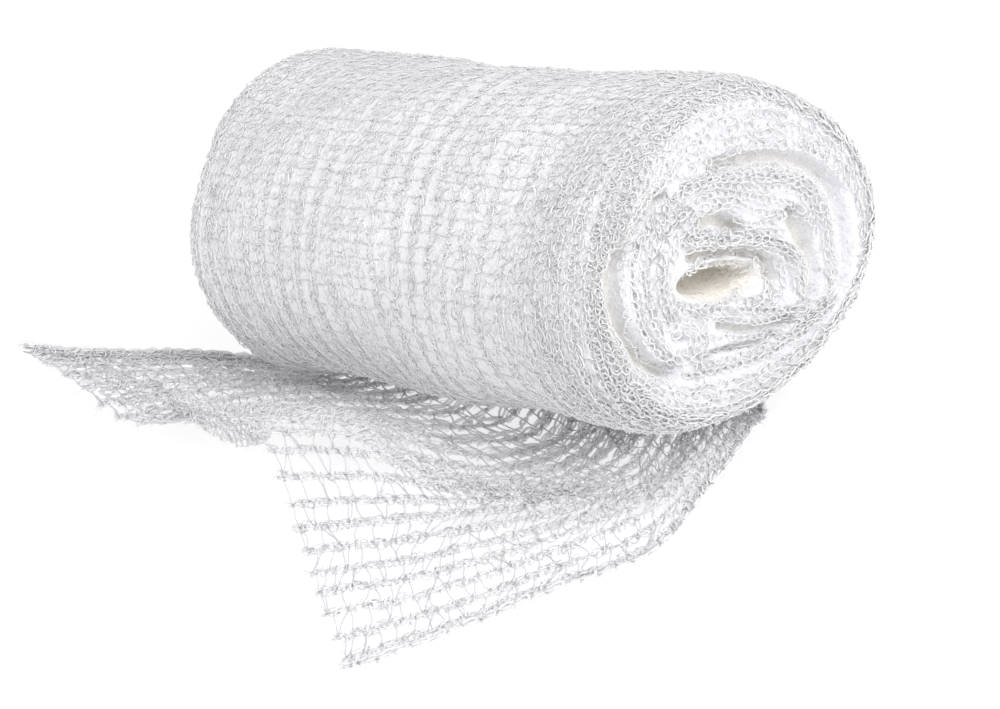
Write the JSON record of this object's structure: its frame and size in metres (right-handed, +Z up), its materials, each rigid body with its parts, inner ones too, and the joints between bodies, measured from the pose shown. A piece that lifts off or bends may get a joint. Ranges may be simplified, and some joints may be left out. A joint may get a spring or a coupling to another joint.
{
  "type": "gauze bandage roll",
  "caption": "Wound roll of open, stretchy knitted gauze with a telescoped near end and a loose end drawn out in front of it.",
  "frame": {"origin": "middle of the part's footprint box, on the surface that it rests on", "axes": "+X along the roll from its far end to its near end, +Y to the side that the loose end leaves behind, +Z up"},
  "size_m": [0.1194, 0.0903, 0.0532],
  "materials": {
    "wound_gauze": "bleached viscose and cotton chain-stitch gauze, many layers deep, matt and fuzzy",
    "gauze_sheet": "single layer of open chain-stitch gauze with fine cross threads, matt"
  },
  "bodies": {
    "root": {"roll": "wound_gauze", "loose_end": "gauze_sheet"}
  },
  "joints": []
}
